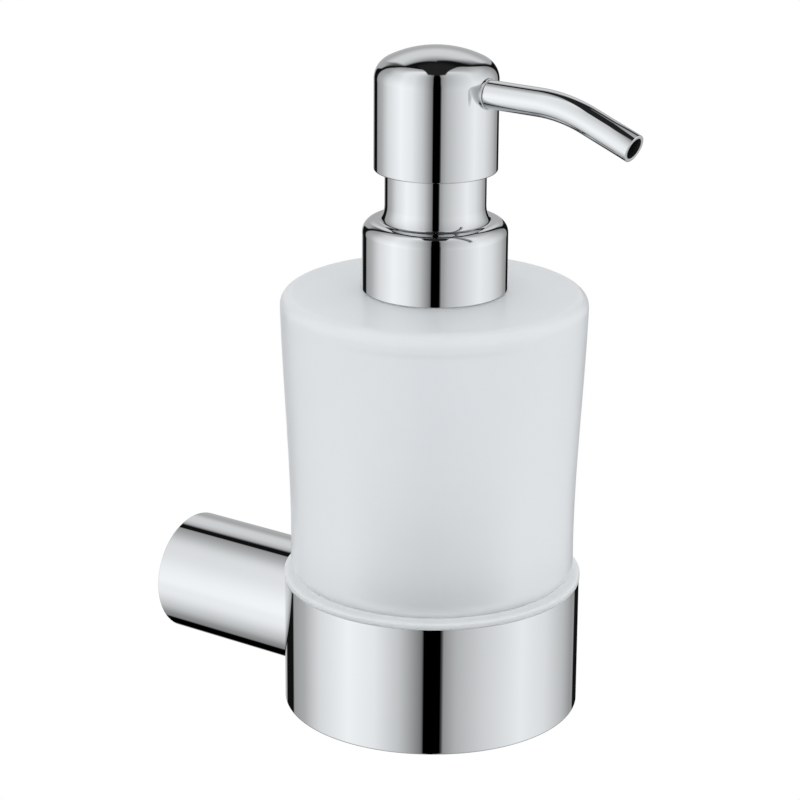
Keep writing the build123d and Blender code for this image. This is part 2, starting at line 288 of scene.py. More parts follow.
def freeze(obj, place=None, sharpAngle=40):
    # turns the evaluated result into a plain mesh with outward faces
    graph = bpy.context.evaluated_depsgraph_get()
    mesh = bpy.data.meshes.new_from_object(obj.evaluated_get(graph))
    obj.modifiers.clear()
    old = obj.data
    obj.data = mesh
    bpy.data.meshes.remove(old)
    if place is not None:
        mesh.transform(place)
    mesh.name = obj.name
    used = [m for m in mesh.materials if m]
    if len(used) < len(mesh.materials):
        mesh.materials.clear()
        mesh.materials.append(used[0])
        mesh.polygons.foreach_set("material_index", [0] * len(mesh.polygons))
    if signedVolume(mesh) < 0:
        mesh.flip_normals()
    mesh.set_sharp_from_angle(angle=math.radians(sharpAngle))
    mesh.update()
    return obj


def signedVolume(mesh):
    mesh.calc_loop_triangles()
    total = 0.0
    for tri in mesh.loop_triangles:
        a, b, c = (mesh.vertices[i].co for i in tri.vertices)
        total += a.dot(b.cross(c))
    return total / 6


def turnedPiece(name, outline, finish, segments=256, centre=None, place=None):
    points = [(r * mm, 0.0, z * mm) for r, z in outline]
    obj = meshObject(name, points, [(i, i + 1) for i in range(len(points) - 1)])
    centre = bottleAxis if centre is None else centre
    addNodes(obj, turningTree, {"Segments": segments, "Centre": tuple(centre), "Finish": finish})
    return freeze(obj, place)


def cutOut(obj, cutter):
    boolean = obj.modifiers.new("hole", "BOOLEAN")
    boolean.operation = "DIFFERENCE"
    boolean.solver = "EXACT"
    boolean.object = cutter
    freeze(obj)
    bpy.data.objects.remove(cutter)
    return obj


def helixPiece(name, finish, radius, rise, turns, bead, fade, startZ):
    # lengths in metres; fade is the share of the helix over which each end thins out
    obj = meshObject(name, [(0, 0, 0)])
    sizes = {"Radius": radius, "Rise": rise, "Turns": turns, "Bead": bead, "Fade": fade}
    addNodes(obj, helixTree, {**sizes, "Base": (0.0, axisY, startZ), "Finish": finish})
    return freeze(obj)


def settle(obj, body, slot, *nodes):
    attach(obj, body)
    if nodes:
        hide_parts(*nodes)


def newShaderGroup(name, inputs, outputs):
    group = bpy.data.node_groups.new(name, "ShaderNodeTree")
    for socketName, kind, value in inputs:
        socket = group.interface.new_socket(socketName, in_out="INPUT", socket_type=kind)
        socket.default_value = value
    for socketName, kind in outputs:
        group.interface.new_socket(socketName, in_out="OUTPUT", socket_type=kind)
    return group


noiseSizes = {"cloudDetail": 3.0, "grainDetail": 2.0, "driftSpan": (0.2, 0.8), "cloudSpan": (0.25, 0.75)}


def buildSurfaceDrift():
    # slow wandering between two roughness values, and a fine height for bump
    n = noiseSizes
    group = newShaderGroup(
        "surfaceDrift",
        [
            ("Drift Scale", "NodeSocketFloat", 60.0),
            ("Grain Scale", "NodeSocketFloat", 3000.0),
            ("Low", "NodeSocketFloat", 0.3),
            ("High", "NodeSocketFloat", 0.5),
        ],
        [("Roughness", "NodeSocketFloat"), ("Height", "NodeSocketFloat")],
    )
    make = nodeMaker(group)
    given = make("NodeGroupInput").outputs
    place = make("ShaderNodeTexCoord").outputs["Object"]
    drift = make(
        "ShaderNodeTexNoise", {"Vector": place, "Scale": given["Drift Scale"], "Detail": n["cloudDetail"]}
    )
    grain = make(
        "ShaderNodeTexNoise", {"Vector": place, "Scale": given["Grain Scale"], "Detail": n["grainDetail"]}
    )
    low, high = n["driftSpan"]
    rough = make(
        "ShaderNodeMapRange",
        {
            "Value": drift.outputs["Fac"],
            "From Min": low,
            "From Max": high,
            "To Min": given["Low"],
            "To Max": given["High"],
        },
        interpolation_type="SMOOTHSTEP",
    )
    make("NodeGroupOutput", {"Roughness": rough.outputs[0], "Height": grain.outputs["Fac"]})
    return group


def buildTintDrift():
    # mixes two tints in soft clouds
    n = noiseSizes
    group = newShaderGroup(
        "tintDrift",
        [
            ("Tint", "NodeSocketColor", (0.8, 0.8, 0.8, 1)),
            ("Other Tint", "NodeSocketColor", (0.7, 0.7, 0.7, 1)),
            ("Cloud Scale", "NodeSocketFloat", 40.0),
        ],
        [("Color", "NodeSocketColor")],
    )
    make = nodeMaker(group)
    given = make("NodeGroupInput").outputs
    place = make("ShaderNodeTexCoord").outputs["Object"]
    cloud = make(
        "ShaderNodeTexNoise", {"Vector": place, "Scale": given["Cloud Scale"], "Detail": n["cloudDetail"]}
    )
    low, high = n["cloudSpan"]
    mask = make(
        "ShaderNodeMapRange",
        {"Value": cloud.outputs["Fac"], "From Min": low, "From Max": high},
        interpolation_type="SMOOTHSTEP",
    ).outputs[0]
    mix = make("ShaderNodeMix", {0: mask, 6: given["Tint"], 7: given["Other Tint"]}, data_type="RGBA")
    make("NodeGroupOutput", {"Color": mix.outputs[2]})
    return group


surfaceDrift = buildSurfaceDrift()
tintDrift = buildTintDrift()


def newMaterial(name, look):
    # look holds constant sockets, tints, roughness range and bump
    mat = bpy.data.materials.new(name)
    mat.use_nodes = True
    tree = mat.node_tree
    shader = next(n for n in tree.nodes if n.type == "BSDF_PRINCIPLED")
    make = nodeMaker(tree)
    tint = make("ShaderNodeGroup", node_tree=tintDrift)
    tint.inputs["Tint"].default_value = (*look["tint"], 1)
    tint.inputs["Other Tint"].default_value = (*look["otherTint"], 1)
    tint.inputs["Cloud Scale"].default_value = look["cloudScale"]
    drift = make("ShaderNodeGroup", node_tree=surfaceDrift)
    drift.inputs["Drift Scale"].default_value = look["driftScale"]
    drift.inputs["Grain Scale"].default_value = look["grainScale"]
    drift.inputs["Low"].default_value, drift.inputs["High"].default_value = look["roughness"]
    tree.links.new(tint.outputs["Color"], shader.inputs["Base Color"])
    tree.links.new(drift.outputs["Roughness"], shader.inputs["Roughness"])
    bump = make(
        "ShaderNodeBump",
        {"Height": drift.outputs["Height"], "Strength": look["bump"], "Distance": look["bumpDepth"]},
    )
    tree.links.new(bump.outputs["Normal"], shader.inputs["Normal"])
    for socketName, value in look.get("sockets", {}).items():
        shader.inputs[socketName].default_value = value
    return mat


chromeLook = {
    "tint": (0.632, 0.642, 0.652),
    "otherTint": (0.618, 0.63, 0.64),
    "cloudScale": 30.0,
    "roughness": (0.01, 0.025),
    "driftScale": 45.0,
    "grainScale": 500.0,
    "bump": 0.006,
    "bumpDepth": 0.00001,
    "sockets": {"Metallic": 1.0},
}
frostedLook = {
    "tint": (0.736, 0.759, 0.779),
    "otherTint": (0.746, 0.767, 0.786),
    "cloudScale": 35.0,
    "roughness": (0.285, 0.325),
    "driftScale": 60.0,
    "grainScale": 5200.0,
    "bump": 0.06,
    "bumpDepth": 0.00003,
    "sockets": {
        "IOR": 1.52,
        "Transmission Weight": 0.06,
        "Subsurface Weight": 1.0,
        "Subsurface Radius": (1.0, 1.0, 1.0),
        "Subsurface Scale": 0.004,
    },
    "hazeTurn": (0.05, 0.28),  # how far the surface turns away before its haze hides the painted shade of the inside
    # height, and the painted shade tone that shows through the glass there, darker low down where the ring
    # encloses the inside
    "insideShadeTones": [(33, 0.80), (37, 0.83), (46, 0.89), (60, 0.95), (78, 0.99), (95, 1.0)],
    "toneSpan": 120,  # the tones' scale runs from the ring's bottom edge up to this height
    "innerShoulder": 96.3,  # height of a painted dark line where the cavity's upper edge shows through, and how wide and dark
    "innerShoulderWidth": 1.1,
    "shoulderLineShade": 0.96,
}
linerLook = {
    "tint": (0.64, 0.67, 0.685),
    "otherTint": (0.63, 0.66, 0.675),
    "cloudScale": 60.0,
    "roughness": (0.32, 0.42),
    "driftScale": 90.0,
    "grainScale": 2600.0,
    "bump": 0.06,
    "bumpDepth": 0.00003,
    "sockets": {
        "IOR": 1.5,
        "Subsurface Weight": 1.0,
        "Subsurface Radius": (1.0, 1.0, 1.0),
        "Subsurface Scale": 0.004,
    },
}
naturalPlasticLook = {
    "tint": (0.70, 0.71, 0.70),
    "otherTint": (0.64, 0.65, 0.64),
    "cloudScale": 90.0,
    "roughness": (0.3, 0.42),
    "driftScale": 150.0,
    "grainScale": 2500.0,
    "bump": 0.05,
    "bumpDepth": 0.00003,
    "sockets": {"Subsurface Weight": 0.4, "Subsurface Radius": (1.0, 1.0, 1.0), "Subsurface Scale": 0.0015},
}
capPlasticLook = {
    "tint": (0.78, 0.78, 0.77),
    "otherTint": (0.74, 0.74, 0.73),
    "cloudScale": 80.0,
    "roughness": (0.29, 0.36),
    "driftScale": 120.0,
    "grainScale": 2200.0,
    "bump": 0.06,
    "bumpDepth": 0.00003,
}
rubberLook = {
    "tint": (0.48, 0.48, 0.46),
    "otherTint": (0.42, 0.42, 0.41),
    "cloudScale": 120.0,
    "roughness": (0.6, 0.75),
    "driftScale": 200.0,
    "grainScale": 4000.0,
    "bump": 0.2,
    "bumpDepth": 0.00005,
}
steelLook = {
    "tint": (0.60, 0.60, 0.61),
    "otherTint": (0.52, 0.52, 0.53),
    "cloudScale": 200.0,
    "roughness": (0.29, 0.38),
    "driftScale": 400.0,
    "grainScale": 6000.0,
    "bump": 0.15,
    "bumpDepth": 0.00002,
    "sockets": {"Metallic": 1.0},
}
# the spout's bore is dull metal; its near-black tint is painted shade, standing in for the dark inside the
# narrow tube
boreShadeLook = {
    "tint": (0.10, 0.10, 0.105),
    "otherTint": (0.07, 0.07, 0.075),
    "cloudScale": 300.0,
    "roughness": (0.45, 0.6),
    "driftScale": 400.0,
    "grainScale": 5000.0,
    "bump": 0.2,
    "bumpDepth": 0.00003,
    "sockets": {"Metallic": 1.0},
}
brassLook = {
    "tint": (0.72, 0.52, 0.24),
    "otherTint": (0.62, 0.43, 0.19),
    "cloudScale": 150.0,
    "roughness": (0.28, 0.42),
    "driftScale": 250.0,
    "grainScale": 5000.0,
    "bump": 0.2,
    "bumpDepth": 0.00003,
    "sockets": {"Metallic": 1.0},
}
zincLook = {
    "tint": (0.47, 0.48, 0.50),
    "otherTint": (0.38, 0.39, 0.41),
    "cloudScale": 180.0,
    "roughness": (0.45, 0.62),
    "driftScale": 260.0,
    "grainScale": 2600.0,
    "bump": 0.35,
    "bumpDepth": 0.00006,
    "sockets": {"Metallic": 1.0},
}
finishes = {
    "chrome": newMaterial("mirrorChrome", chromeLook),
    "frosted_glass": newMaterial("frostedGlass", frostedLook),
    "white_plastic": newMaterial("linerPlastic", linerLook),
    "natural_plastic": newMaterial("naturalPlastic", naturalPlasticLook),
    "cap_plastic": newMaterial("capPlastic", capPlasticLook),
    "gasket_rubber": newMaterial("paleRubber", rubberLook),
    "steel": newMaterial("stainlessSteel", steelLook),
    "brass": newMaterial("turnedBrass", brassLook),
    "zinc": newMaterial("castZinc", zincLook),
}
boreShadeFinish = newMaterial("dullBoreShade", boreShadeLook)


def paintInsideShade(mat, look):
    # painted shade: face on, the frosted wall's colour is darkened low down, where the ring encloses the
    # inside, and along a painted dark line at the cavity's upper edge; turned away, its haze hides this
    # painted shade
    tree = mat.node_tree
    make = nodeMaker(tree)
    shader = next(n for n in tree.nodes if n.type == "BSDF_PRINCIPLED")
    height = make("ShaderNodeSeparateXYZ", {0: make("ShaderNodeTexCoord").outputs["Object"]}).outputs[2]
    raised = make("ShaderNodeMath", {0: height, 1: ringBottom}, operation="SUBTRACT").outputs[0]
    # painted shade: the tone falls towards the bottom, where the inside is enclosed by the ring
    shadeTones, span = look["insideShadeTones"], look["toneSpan"]
    share = make("ShaderNodeMapRange", {"Value": raised, "From Max": span * mm}).outputs[0]
    ramp = make("ShaderNodeValToRGB", {"Fac": share})
    ramp.color_ramp.interpolation = "B_SPLINE"
    elements = ramp.color_ramp.elements
    while len(elements) < len(shadeTones):
        elements.new(0.5)
    for element, (z, tone) in zip(elements, shadeTones):
        element.position = z / span
        element.color = (tone, tone, tone, 1)
    # painted shade: a dark line at the height of the cavity's upper edge
    fromEdge = make(
        "ShaderNodeMath", {0: raised, 1: look["innerShoulder"] * mm}, operation="SUBTRACT"
    ).outputs[0]
    fromEdge = make("ShaderNodeMath", {0: fromEdge}, operation="ABSOLUTE").outputs[0]
    line = make(
        "ShaderNodeMapRange",
        {
            "Value": fromEdge,
            "From Min": 0.0,
            "From Max": look["innerShoulderWidth"] * mm,
            "To Min": look["shoulderLineShade"],
            "To Max": 1.0,
        },
        interpolation_type="SMOOTHSTEP",
    ).outputs[0]
    inside = make("ShaderNodeMath", {0: ramp.outputs["Color"], 1: line}, operation="MULTIPLY").outputs[0]
    facing = make("ShaderNodeLayerWeight", {"Blend": 0.5}).outputs["Facing"]
    low, high = look["hazeTurn"]
    haze = make(
        "ShaderNodeMapRange",
        {"Value": facing, "From Min": low, "From Max": high},
        interpolation_type="SMOOTHSTEP",
    ).outputs[0]
    tone = make("ShaderNodeMix", {0: haze, 2: inside, 3: 1.0}).outputs[0]
    whole = make("ShaderNodeCombineColor", {0: tone, 1: tone, 2: tone}).outputs[0]
    link = shader.inputs["Base Color"].links[0]
    mixed = make(
        "ShaderNodeMix", {0: 1.0, 6: link.from_socket, 7: whole}, data_type="RGBA", blend_type="MULTIPLY"
    )
    tree.links.new(mixed.outputs[2], shader.inputs["Base Color"])


paintInsideShade(finishes["frosted_glass"], frostedLook)
print("materials:", len(finishes))

slotOfNode = {row["node"]: row["material_slot"] for row in frame["record"]["subparts"]}
for nodeName, nodeObject in frame["nodes"].items():
    nodeObject.data.materials.clear()
    nodeObject.data.materials.append(finishes[slotOfNode[nodeName]])


# the holder: ring, liner and arm

ringRadius = halfWidth("holder_ring")
ringHeight = above("holder_ring", 1)
ringSizes = {
    "wall": 2.2,
    "ledge": 2.0,
    "ledgeOpening": 28.0,
    "ledgeEdge": 0.3,
    "bottomEdge": 0.5,
    "topEdge": 0.2,
    "innerCorner": 0.5,
    "segments": 320,
}
# hole for the ring screw: distances along its axis are from the screw head's face
screwHoleSizes = {
    "play": 0.05,
    "start": -1.0,
    "rim": 0.1,
    "cone": 1.95,
    "end": 6.0,
    "bore": 2.05,
    "facets": 48,
}


def buildRing():
    s, h = ringSizes, screwHoleSizes
    inner = ringRadius - s["wall"]
    outline = roundedOutline(
        [
            (s["ledgeOpening"], 0, s["ledgeEdge"]),
            (ringRadius, 0, s["bottomEdge"]),
            (ringRadius, ringHeight, s["topEdge"]),
            (inner, ringHeight, s["topEdge"]),
            (inner, s["ledge"], s["innerCorner"]),
            (s["ledgeOpening"], s["ledge"], s["ledgeEdge"]),
        ]
    )
    ring = turnedPiece("holderRing", outline, finishes["chrome"], s["segments"])
    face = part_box("ring_screw")[0][1] / mm
    headRadius = halfWidth("ring_screw") + h["play"]
    start, rim, cone, end = (face + h[key] for key in ("start", "rim", "cone", "end"))
    hole = [(0, start), (headRadius, start), (headRadius, rim), (h["bore"], cone), (h["bore"], end), (0, end)]
    cutter = turnedPiece("screwHole", hole, finishes["chrome"], h["facets"], armAxis, towardsWall)
    settle(cutOut(ring, cutter), "holder", "chrome", "holder_ring")


linerSizes = {
    "play": 0.05,
    "wall": 1.1,
    "foot": 1.5,
    "opening": 27.0,
    "edge": 0.3,
    "bottomCorner": 0.7,
    "lipRadius": 35.15,
    "lipEdge": 0.45,
    "bead": 0.38,  # the lip's inner edge reaches in to the glass
    "beadHeight": 0.8,
    "beadEdge": 0.05,
    "segments": 256,
}


def buildLiner():
    s = linerSizes
    outer = ringRadius - ringSizes["wall"] - s["play"]
    inner = outer - s["wall"]
    ledge = ringSizes["ledge"]
    foot = ledge + s["foot"]
    top = above("ring_liner", 1)
    outline = roundedOutline(
        [
            (s["opening"], ledge, s["edge"]),
            (outer, ledge, s["bottomCorner"]),
            (outer, ringHeight, 0),
            (s["lipRadius"], ringHeight, s["edge"]),
            (s["lipRadius"], top, s["lipEdge"]),
            (inner - s["bead"], top, s["beadEdge"]),
            (inner - s["bead"], top - s["beadHeight"], s["beadEdge"]),
            (inner, top - s["beadHeight"] - s["bead"], s["beadEdge"]),
            (inner, foot, s["edge"]),
            (s["opening"], foot, s["edge"]),
        ]
    )
    liner = turnedPiece("ringLiner", outline, finishes["white_plastic"], s["segments"])
    settle(liner, "holder", "white_plastic", "ring_liner")
    liner.visible_shadow = False
    liner.visible_diffuse = False


armSizes = {
    "wall": 2.0,
    "facets": 192,
    "endEdge": 0.2,
    "edgeFacets": 5,
    "support": 0.05,  # run beside an end that keeps it crisp
    "stations": (12.0, 24.0),  # distances from the wall of two plain rows of points
    "bite": 0.04,  # how far the tube's end reaches into the ring
    "grubBore": 2.05,
    "grubSpan": (-3.0, 4.0),  # from below the grub screw's middle to above it
    "grubFacets": 48,
}


def buildArm():
    s = armSizes
    radius = halfWidth("arm_tube")
    bore = radius - s["wall"]
    edge, run = s["endEdge"], s["support"]
    near, far = s["stations"]

    def ringFace(x):
        # distance from the wall to the ring's outside, over a point x to the side of the arm's axis
        return -axisY / mm - math.sqrt((ringRadius - s["bite"]) ** 2 - x * x)

    # rows of (radius, distance, whether that is from the ring's face instead of the wall)
    rows = [(radius - edge, 0.0, False)]
    for k in range(1, s["edgeFacets"] + 1):
        a = math.radians(90 * k / s["edgeFacets"])
        rows.append((radius - edge + edge * math.sin(a), edge - edge * math.cos(a), False))
    rows += [(radius, edge + run, False), (radius, near, False), (radius, far, False)]
    rows += [(radius, run, True), (radius, 0.0, True), (bore, 0.0, True)]
    rows += [(bore, far, False), (bore, near, False), (bore, edge, False), (bore + edge, 0.0, False)]
    points, faces = [], []
    n = s["facets"]
    for r, y, onRing in rows:
        for i in range(n):
            t = 2 * math.pi * i / n
            x = r * math.cos(t)
            out = ringFace(x) - y if onRing else y
            points.append((x * mm, -out * mm, armAxis.z + r * math.sin(t) * mm))
    for j in range(len(rows)):
        k = (j + 1) % len(rows)
        for i in range(n):
            faces.append((j * n + i, j * n + (i + 1) % n, k * n + (i + 1) % n, k * n + i))
    arm = meshObject("armTube", points, faces=faces)
    arm.data.materials.append(finishes["chrome"])
    arm.data.shade_smooth()
    low, high = s["grubSpan"]
    hole = [(0, low), (s["grubBore"], low), (s["grubBore"], high), (0, high)]
    cutter = turnedPiece("grubHole", hole, finishes["chrome"], s["grubFacets"], middle("grub_screw"))
    settle(cutOut(arm, cutter), "holder", "chrome", "arm_tube")


buildRing()
buildLiner()
buildArm()
print("holder built")

bottleSizes = {
    "wall": 3.0,
    "footRadius": 31.2,
    "footFillet": 2.5,
    "step": 32.75,
    "stepWidth": 0.35,
    "lowerCorner": (1.6, 12),  # how far the lower corner is drawn in, and its facets
    "sideStations": [(33.45, 36.5), (33.9, 60.0), (35.4, 89.5), (35.76, 101.0)],  # radius, height
    "sideFacets": 40,
    "top": 101.7,
    "shoulderDrop": 0.75,  # from the top down to the shoulder's edge
    "shoulderFillet": 3.0,
    "shoulderFlat": 17.2,  # the shoulder is level inside this radius
    "edgeRise": 1.5,  # above the fillet's start, where the shoulder's edge takes its radius
    "edgeOut": 0.03,
    "neckRadius": 12.7,
    "neckBore": 10.9,
    "neckRoot": 0.3,
    "mouthEdges": (0.5, 0.4),  # outside, inside
    "boreFillet": 1.5,
    "cavityDrop": 0.3,
    "cavityFillet": 4.0,
    "cavityWaist": (30.6, 43),  # radius and height where the cavity starts to narrow to its foot
    "cavityFoot": 37,
    "floorFillet": 5.0,
    "segments": 256,
}
threadSizes = {"pitch": 3.2, "fade": 0.06}
neckThreadSizes = {"turns": 2.6, "bead": 0.8, "standOut": 0.1, "start": 2.3}  # start is above the shoulder


def sideRadius(z):
    # one cubic through the four stations
    total = 0.0
    stations = bottleSizes["sideStations"]
    for i, (r, zi) in enumerate(stations):
        for j, (_, zj) in enumerate(stations):
            if i != j:
                r *= (z - zj) / (zi - zj)
        total += r
    return total


def bottleOutline():
    # up the outside from the foot's middle, over the shoulder and mouth, and down the inside
    s = bottleSizes
    bottom, neckTop = above("glass_bottle", 0), above("glass_bottle", 1)
    lowR, lowZ = s["sideStations"][0]
    shoulderLow = s["top"] - s["shoulderDrop"]
    filletStart = shoulderLow - s["shoulderFillet"]
    foot = [(0, bottom, 0), (s["footRadius"], bottom, s["footFillet"]), (s["footRadius"], s["step"], 0)]
    outline = roundedOutline(foot, closed=False)
    outline.append((s["footRadius"] + s["stepWidth"], s["step"]))
    # lower corner: a quarter of an ellipse from the step up to the side
    reach, facets = s["lowerCorner"]
    for k in range(facets + 1):
        a = math.pi / 2 * k / facets
        z = s["step"] + (lowZ - s["step"]) * (1 - math.cos(a))
        outline.append((lowR - reach + reach * math.sin(a), z))
    for k in range(1, s["sideFacets"] + 1):
        z = lowZ + (filletStart - lowZ) * k / s["sideFacets"]
        outline.append((sideRadius(z), z))
    edge = sideRadius(filletStart + s["edgeRise"])
    ceiling, floor = s["top"] - s["wall"], bottom + s["wall"]
    footInside = s["footRadius"] - s["wall"]
    rest = roundedOutline(
        [
            (sideRadius(filletStart), filletStart, 0),
            (edge + s["edgeOut"], shoulderLow, s["shoulderFillet"]),
            (s["shoulderFlat"], s["top"], 0),
            (s["neckRadius"], s["top"], s["neckRoot"]),
            (s["neckRadius"], neckTop, s["mouthEdges"][0]),
            (s["neckBore"], neckTop, s["mouthEdges"][1]),
            (s["neckBore"], ceiling, s["boreFillet"]),
            (edge - s["wall"], ceiling - s["cavityDrop"], s["cavityFillet"]),
            (*s["cavityWaist"], s["cavityFillet"]),
            (footInside, s["cavityFoot"], s["cavityFillet"]),
            (footInside, floor, s["floorFillet"]),
            (0, floor, 0),
        ],
        closed=False,
    )
    return outline + rest[1:]


def buildBottle():
    s = bottleSizes
    bottle = turnedPiece("glassBottle", bottleOutline(), finishes["frosted_glass"], s["segments"])
    settle(bottle, "bottle", "frosted_glass", "glass_bottle")
    bottle.visible_glossy = False  # the collar stays clear of the bottle's mirror image
    # frosted glass passes light on, so it neither shades the lip nor is shaded by it
    bottle.visible_shadow = False
    bottle.visible_diffuse = False
    t, n = threadSizes, neckThreadSizes
    thread = helixPiece(
        "neckThread",
        finishes["frosted_glass"],
        radius=(s["neckRadius"] + n["standOut"]) * mm,
        rise=t["pitch"] * n["turns"] * mm,
        turns=n["turns"],
        bead=n["bead"] * mm,
        fade=t["fade"],
        startZ=ringBottom + (s["top"] + n["start"]) * mm,
    )
    settle(thread, "bottle", "frosted_glass")


buildBottle()
print("bottle built")

collarSizes = {
    "wall": 1.05,
    "bottomEdge": 0.3,
    "bottomInnerEdge": 0.2,
    "shoulder": 118.3,
    "topFillet": 2.97,
    "innerFillet": 1.8,
    "flare": (1.5, 3.6, 16),  # how far out and up the sleeve's foot flares, and its facets
    "sleeveRadius": 11.68,
    "sleeveWall": 1.0,
    "sleeveEdge": 0.3,
    "segments": 256,
}
capThreadSizes = {"radius": 14.05, "turns": 2.2, "bead": 0.34, "start": 2.2}  # start is above the lower edge


def buildCollar():
    s = collarSizes
    radius = halfWidth("collar_shell")
    low, high = above("collar_shell", 0), above("collar_shell", 1)
    inner = radius - s["wall"]
    bore = s["sleeveRadius"] - s["sleeveWall"]
    ceiling = s["shoulder"] - s["wall"]
    flareOut, flareUp, facets = s["flare"]
    flare = []
    for k in range(facets + 1):
        a = math.pi / 2 * k / facets
        flareR = s["sleeveRadius"] + flareOut * (1 - math.sin(a))
        flare.append((flareR, s["shoulder"] + flareUp * (1 - math.cos(a)), 0))
    outline = roundedOutline(
        [
            (inner, low, s["bottomInnerEdge"]),
            (radius, low, s["bottomEdge"]),
            (radius, s["shoulder"], s["topFillet"]),
            *flare,
            (s["sleeveRadius"], high, s["sleeveEdge"]),
            (bore, high, s["sleeveEdge"]),
            (bore, ceiling, s["sleeveEdge"]),
            (inner, ceiling, s["innerFillet"]),
        ]
    )
    collar = turnedPiece("collarShell", outline, finishes["chrome"], s["segments"])
    settle(collar, "collar", "chrome", "collar_shell")
    t, c = threadSizes, capThreadSizes
    thread = helixPiece(
        "capThread",
        finishes["cap_plastic"],
        radius=c["radius"] * mm,
        rise=t["pitch"] * c["turns"] * mm,
        turns=c["turns"],
        bead=c["bead"] * mm,
        fade=t["fade"],
        startZ=ringBottom + (low + c["start"]) * mm,
    )
    settle(thread, "collar", "cap_plastic")


buildCollar()
print("collar built")

headSizes = {
    "wall": 1.1,
    "dome": 25.4,
    "domeFacets": 28,
    "corner": 5.2,
    "cornerFacets": 24,
    "lowerEdge": 0.45,
    "lowerInnerEdge": 0.3,
    "segments": 256,
    "spoutPlay": 0.05,
    "spoutHole": (8, 18),  # distances from the head's axis between which the side is cut through
    "holeFacets": 64,
}
spoutSizes = {
    "height": 149.3,
    "innerEnd": 4.5,
    "straightStations": (10.0, 16.0, 22.0),
    "straight": 27.7,
    "bendRadius": 36.25,
    "bend": 21.0,
    "bendFacets": 24,
    "tip": 12.7,
    "wall": 0.85,
    "facets": 96,
    "rim": 0.12,
    "rimFacets": 4,
    "rimAngle": 50,
}
spoutRingSizes = {"start": 13.4, "play": 0.04, "edge": 0.15, "innerEdge": 0.05, "segments": 96}
spoutRadius = halfWidth("spout_tube")
spoutAxis = Matrix.Translation((0, axisY, ringBottom + spoutSizes["height"] * mm)) @ towardsRoom


def domeLine(radius, top, dome, corner):
    # from the end of the upright side, over the corner, to the pole
    centreZ = top - dome
    cornerR = radius - corner
    cornerZ = centreZ + math.sqrt((dome - corner) ** 2 - cornerR**2)
    meet = math.degrees(math.atan2(cornerZ - centreZ, cornerR))
    line = arc(cornerR, cornerZ, corner, 0, meet, headSizes["cornerFacets"])
    line += arc(0, centreZ, dome, meet, 90, headSizes["domeFacets"])[1:-1]
    return line + [(0.0, top)]


def buildHead():
    s = headSizes
    radius = halfWidth("head_shell")
    low, high = above("head_shell", 0), above("head_shell", 1)
    wall = s["wall"]
    outside = domeLine(radius, high, s["dome"], s["corner"])
    inside = domeLine(radius - wall, high - wall, s["dome"] - wall, s["corner"] - wall)
    rim = roundedOutline(
        [
            (radius - wall, inside[0][1], 0),
            (radius - wall, low, s["lowerInnerEdge"]),
            (radius, low, s["lowerEdge"]),
            (radius, outside[0][1], 0),
        ],
        closed=False,
    )
    outline = inside[::-1] + rim[1:-1] + outside
    head = turnedPiece("headShell", outline, finishes["chrome"], s["segments"])
    holeRadius = spoutRadius + s["spoutPlay"]
    start, end = s["spoutHole"]
    hole = [(0, start), (holeRadius, start), (holeRadius, end), (0, end)]
    cutter = turnedPiece("spoutHole", hole, finishes["chrome"], s["holeFacets"], noShift, spoutAxis)
    settle(cutOut(head, cutter), "head", "chrome", "head_shell")


def buildSpoutRing():
    s = spoutRingSizes
    outer = halfWidth("spout_ring")
    inner = spoutRadius + s["play"]
    end = (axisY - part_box("spout_ring")[0][1]) / mm
    corners = [(inner, s["start"], 0), (outer, s["start"], 0)]
    outline = roundedOutline(corners + [(outer, end, s["edge"]), (inner, end, s["innerEdge"])])
    ring = turnedPiece("spoutRing", outline, finishes["chrome"], s["segments"], noShift, spoutAxis)
    settle(ring, "head", "chrome", "spout_ring")


def buildSpout():
    # its path is straight, one bend, straight; distances are out from the head's axis and up
    s = spoutSizes
    path = [(out, 0.0) for out in (s["innerEnd"], *s["straightStations"])]
    for k in range(s["bendFacets"] + 1):
        a = math.radians(s["bend"]) * k / s["bendFacets"]
        path.append((s["straight"] + s["bendRadius"] * math.sin(a), -s["bendRadius"] * (1 - math.cos(a))))
    endOut, endUp = path[-1]
    a = math.radians(s["bend"])
    for share in (0.5, 1.0):
        path.append((endOut + s["tip"] * share * math.cos(a), endUp - s["tip"] * share * math.sin(a)))
    height = ringBottom + s["height"] * mm
    points = [(0.0, axisY - out * mm, height + up * mm) for out, up in path]
    spout = meshObject("spoutTube", points, [(i, i + 1) for i in range(len(points) - 1)])
    chrome = finishes["chrome"]
    addNodes(spout, pipeTree, {"Radius": spoutRadius * mm, "Facets": s["facets"], "Finish": chrome})
    freeze(spout)
    # the inner skin made by the wall below gets the bore's painted shade
    spout.data.materials.append(boreShadeFinish)
    wallSkin = spout.modifiers.new("wall", "SOLIDIFY")
    wallSkin.thickness = s["wall"] * mm
    wallSkin.offset = -1
    wallSkin.material_offset = 1
    edges = spout.modifiers.new("rim", "BEVEL")
    edges.width = s["rim"] * mm
    edges.segments = s["rimFacets"]
    edges.limit_method = "ANGLE"
    edges.angle_limit = math.radians(s["rimAngle"])
    settle(freeze(spout), "head", "chrome", "spout_tube")


buildHead()
buildSpoutRing()
buildSpout()
print("head and spout built")

springSizes = {"wire": 0.9, "turns": 7.0, "fade": 0.0001, "keep": 0.65}  # keep is its length when pressed


def buildSpring():
    s = springSizes
    low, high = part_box("return_spring")
    spring = helixPiece(
        "returnSpring",
        finishes["steel"],
        radius=(halfWidth("return_spring") - s["wire"] / 2) * mm,
        rise=high[2] - low[2] - s["wire"] * mm,
        turns=s["turns"],
        bead=s["wire"] / 2 * mm,
        fade=s["fade"],
        startZ=low[2] + s["wire"] / 2 * mm,
    )
    settle(spring, "pump", "steel", "return_spring")
    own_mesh(spring)


